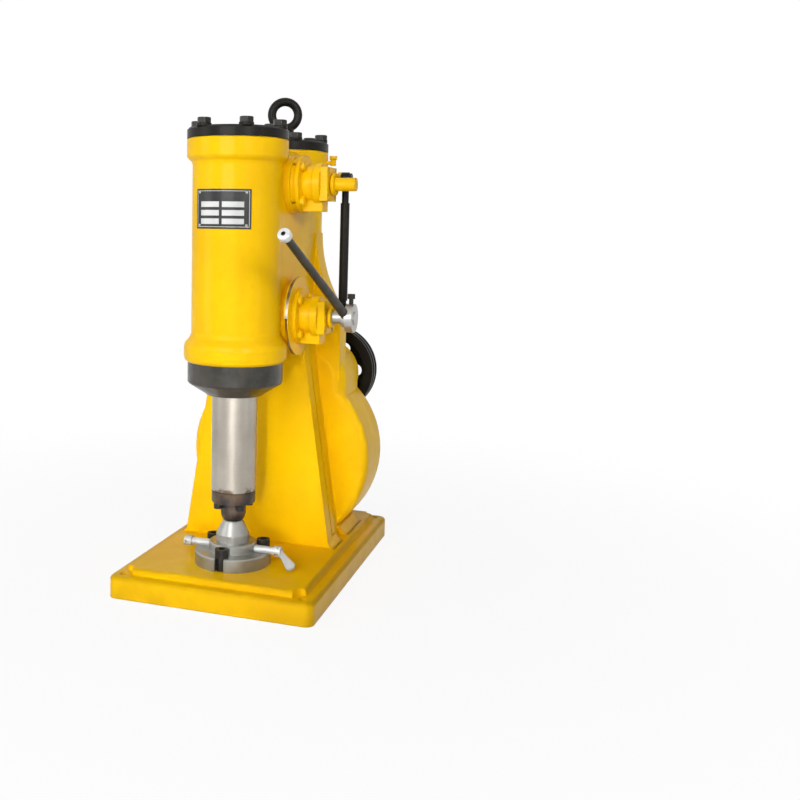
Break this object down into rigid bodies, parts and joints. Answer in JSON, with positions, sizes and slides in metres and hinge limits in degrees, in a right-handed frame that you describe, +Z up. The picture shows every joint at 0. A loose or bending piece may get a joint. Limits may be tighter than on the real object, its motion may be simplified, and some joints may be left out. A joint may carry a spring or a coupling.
{
  "type": "power hammer",
  "caption": "Compact air forging hammer: cast base and column, working and compressor cylinders, sliding ram with dies, rotary valves with handle and link, geared crank drive with belt pulley.",
  "frame": {"origin": "middle of the base's footprint, on the floor plane", "axes": "+Z up, +X to the operator's right, front of the machine towards -Y"},
  "size_m": [0.391, 0.6579, 0.9225],
  "materials": {
    "yellow_paint": "glossy yellow enamel over cast iron",
    "black_paint": "black enamel",
    "black_screws": "black oxide",
    "bright_steel": "ground",
    "dark_steel": "forged, oiled",
    "piston_iron": "turned",
    "bronze": "turned",
    "plate_metal": "satin"
  },
  "bodies": {
    "stand": {"base": "yellow_paint", "frame": "yellow_paint", "front_cap": "black_paint", "rear_cap": "black_paint", "cap_bolts": "black_screws", "eyebolt": "black_paint", "gland": "black_paint", "guide_bush": "bronze", "nameplate": "plate_metal", "plate_rivets": "plate_metal", "oil_cups": "yellow_paint", "gear_cover": "yellow_paint", "cover_bolts": "black_screws", "crank_bush": "bronze", "pinion_bush": "bronze", "upper_valve_body": "yellow_paint", "lower_valve_body": "yellow_paint", "lower_flange": "bright_steel", "valve_bolts": "yellow_paint", "lower_die": "bright_steel", "die_holder": "dark_steel", "holder_screws": "black_screws"},
    "hammer": {"ram": "bright_steel", "ram_rings": "dark_steel", "die_collar": "dark_steel", "collar_screws": "black_screws", "upper_die": "dark_steel"},
    "crank": {"gear": "dark_steel", "crankshaft": "bright_steel", "crank_pin": "bright_steel"},
    "rod": {"conrod": "dark_steel", "rod_bush": "bronze", "wrist_pin": "bright_steel"},
    "drive": {"pulley": "black_paint", "pinion_shaft": "bright_steel", "pulley_nut": "black_screws", "pinion": "dark_steel"},
    "piston": {"comp_piston": "piston_iron", "comp_rings": "dark_steel"},
    "lower_valve": {"lower_plug": "bright_steel", "lower_arm": "black_paint", "link_pin": "black_paint", "handle_hub": "bright_steel", "hub_screw": "black_screws", "handle": "dark_steel", "knob": "bright_steel"},
    "upper_valve": {"upper_plug": "yellow_paint", "upper_arm": "yellow_paint", "upper_pin": "black_paint"},
    "link": {"link_rod": "black_paint"},
    "right_clamp": {"right_clamp_screw": "bright_steel"},
    "right_lever": {"right_clamp_lever": "bright_steel"},
    "left_clamp": {"left_clamp_screw": "bright_steel"}
  },
  "joints": [
    {"name": "ram_slide", "type": "slide", "parent": "stand", "child": "hammer", "axis": [0, 0, 1], "range_m": [0, 0.12]},
    {"name": "crank_spin", "type": "hinge", "parent": "stand", "child": "crank", "pos_m": [0, 0.1465, 0.204], "axis": [0, 1, 0], "continuous": true},
    {"name": "rod_swing", "type": "hinge", "parent": "crank", "child": "rod", "pos_m": [0, 0.1065, 0.169], "axis": [0, 1, 0], "continuous": true},
    {"name": "pinion_spin", "type": "hinge", "parent": "stand", "child": "drive", "pos_m": [0.07, 0.1465, 0.362], "axis": [0, 1, 0], "continuous": true},
    {"name": "piston_slide", "type": "slide", "parent": "stand", "child": "piston", "axis": [0, 0, 1], "range_m": [0, 0.07]},
    {"name": "handle_turn", "type": "hinge", "parent": "stand", "child": "lower_valve", "pos_m": [0.19, -0.0735, 0.503], "axis": [1, 0, 0], "range_deg": [-25, 38]},
    {"name": "upper_valve_turn", "type": "hinge", "parent": "stand", "child": "upper_valve", "pos_m": [0.19, -0.0735, 0.743], "axis": [1, 0, 0], "range_deg": [-25, 38]},
    {"name": "link_swing", "type": "hinge", "parent": "lower_valve", "child": "link", "pos_m": [0.165, -0.0359, 0.5167], "axis": [1, 0, 0], "range_deg": [-38, 25]},
    {"name": "right_clamp_turn", "type": "hinge", "parent": "stand", "child": "right_clamp", "pos_m": [0.07, -0.1575, 0.081], "axis": [1, 0, 0], "range_deg": [-170, 0]},
    {"name": "right_lever_fold", "type": "hinge", "parent": "right_clamp", "child": "right_lever", "pos_m": [0.09, -0.1575, 0.081], "axis": [0, -0.6428, 0.766], "range_deg": [0, 60]},
    {"name": "left_clamp_turn", "type": "hinge", "parent": "stand", "child": "left_clamp", "pos_m": [-0.07, -0.1575, 0.081], "axis": [1, 0, 0], "range_deg": [-180, 180]}
  ],
  "couplings": [
    {"joint": "pinion_spin", "follows": "crank_spin", "ratio": -4},
    {"joint": "rod_swing", "follows": "crank_spin", "ratio": -1},
    {"joint": "upper_valve_turn", "follows": "handle_turn", "ratio": 1},
    {"joint": "link_swing", "follows": "handle_turn", "ratio": -1}
  ]
}
